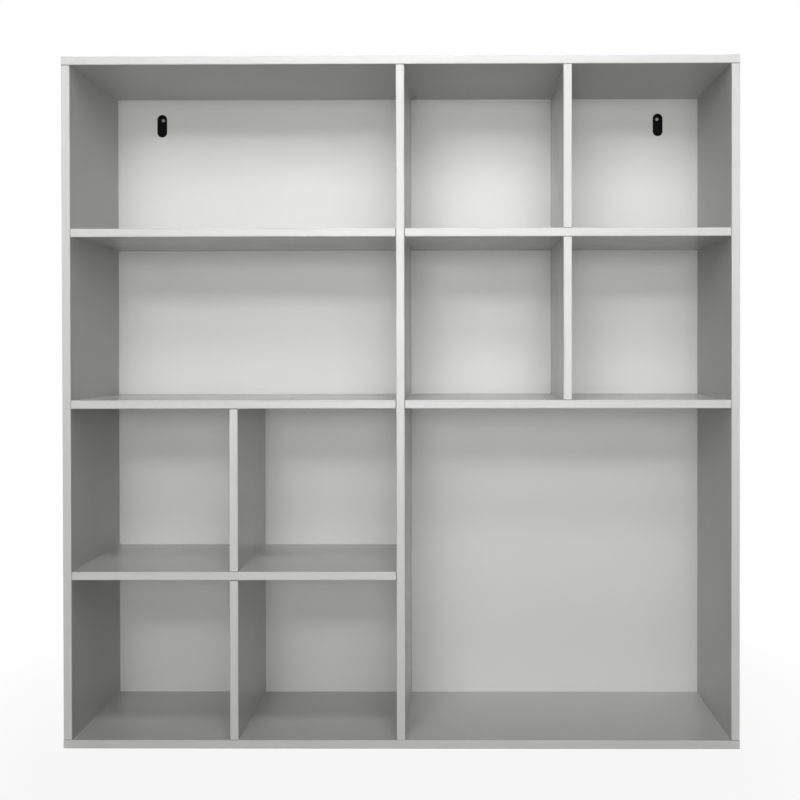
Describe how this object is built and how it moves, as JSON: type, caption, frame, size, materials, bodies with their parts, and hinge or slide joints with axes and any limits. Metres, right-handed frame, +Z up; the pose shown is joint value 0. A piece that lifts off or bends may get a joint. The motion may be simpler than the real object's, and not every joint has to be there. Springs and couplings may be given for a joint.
{
  "type": "wall shelf",
  "caption": "Open cube wall shelf of white faced board with long, square and large compartments, and two height-adjustable hooks hidden behind slots in its back.",
  "frame": {"origin": "under the middle of the bottom panel, half way through its depth", "axes": "+Z up, +X to the right seen from the front, -Y out of the open front, +Y to the wall"},
  "size_m": [1.2124, 0.3, 1.2392],
  "materials": {
    "faced_board": "particleboard with a white melamine face",
    "edge_band": "white ABS edge band, satin",
    "back_board": "thin hardboard, lacquered white in front and raw behind",
    "joiner_strip": "extruded white plastic",
    "cap_plastic": "white moulded plastic",
    "dowel_wood": "beech",
    "zinc_screw": "yellowish zinc plated steel",
    "bright_zinc": "bright zinc plated steel",
    "black_steel": "black powder coat, fine texture"
  },
  "bodies": {
    "carcass": {"top_panel": "faced_board", "bottom_panel": "faced_board", "left_side_panel": "faced_board", "right_side_panel": "faced_board", "centre_upright": "faced_board", "left_upper_shelf": "faced_board", "left_middle_shelf": "faced_board", "left_lower_shelf": "faced_board", "right_upper_shelf": "faced_board", "right_lower_shelf": "faced_board", "left_upper_divider": "faced_board", "left_lower_divider": "faced_board", "right_upper_divider": "faced_board", "right_lower_divider": "faced_board", "top_panel_edge_bands": "edge_band", "bottom_panel_edge_bands": "edge_band", "left_side_panel_edge_band": "edge_band", "right_side_panel_edge_band": "edge_band", "centre_upright_edge_band": "edge_band", "left_upper_shelf_edge_band": "edge_band", "left_middle_shelf_edge_band": "edge_band", "left_lower_shelf_edge_band": "edge_band", "right_upper_shelf_edge_band": "edge_band", "right_lower_shelf_edge_band": "edge_band", "left_upper_divider_edge_band": "edge_band", "left_lower_divider_edge_band": "edge_band", "right_upper_divider_edge_band": "edge_band", "right_lower_divider_edge_band": "edge_band", "left_back_panel": "back_board", "right_back_panel": "back_board", "back_panel_joiner": "joiner_strip", "top_panel_screws": "zinc_screw", "bottom_panel_screws": "zinc_screw", "left_side_panel_screws": "zinc_screw", "right_side_panel_screws": "zinc_screw", "right_lower_shelf_screws": "zinc_screw", "back_panel_screws": "zinc_screw", "top_panel_screw_caps": "cap_plastic", "left_side_panel_screw_caps": "cap_plastic", "right_side_panel_screw_caps": "cap_plastic", "right_lower_shelf_screw_caps": "cap_plastic", "short_dowels": "dowel_wood", "through_dowels": "dowel_wood", "left_hanger_bracket": "black_steel", "left_bracket_screws": "bright_zinc", "right_hanger_bracket": "black_steel", "right_bracket_screws": "bright_zinc"},
    "left_hook": {"left_hook_plate": "black_steel", "left_clamp_nut": "bright_zinc"},
    "right_hook": {"right_hook_plate": "black_steel", "right_clamp_nut": "bright_zinc"},
    "left_clamp": {"left_clamp_screw": "bright_zinc"},
    "right_clamp": {"right_clamp_screw": "bright_zinc"}
  },
  "joints": [
    {"name": "left_hook_height", "type": "slide", "parent": "carcass", "child": "left_hook", "axis": [0, 0, 1], "range_m": [-0.026, 0]},
    {"name": "left_clamp_turn", "type": "hinge", "parent": "left_hook", "child": "left_clamp", "pos_m": [-0.5, 0.137, 1.1835], "axis": [0, -1, 0], "range_deg": [0, 720]},
    {"name": "right_hook_height", "type": "slide", "parent": "carcass", "child": "right_hook", "axis": [0, 0, 1], "range_m": [-0.026, 0]},
    {"name": "right_clamp_turn", "type": "hinge", "parent": "right_hook", "child": "right_clamp", "pos_m": [0.509, 0.137, 1.1835], "axis": [0, -1, 0], "range_deg": [0, 720]}
  ]
}
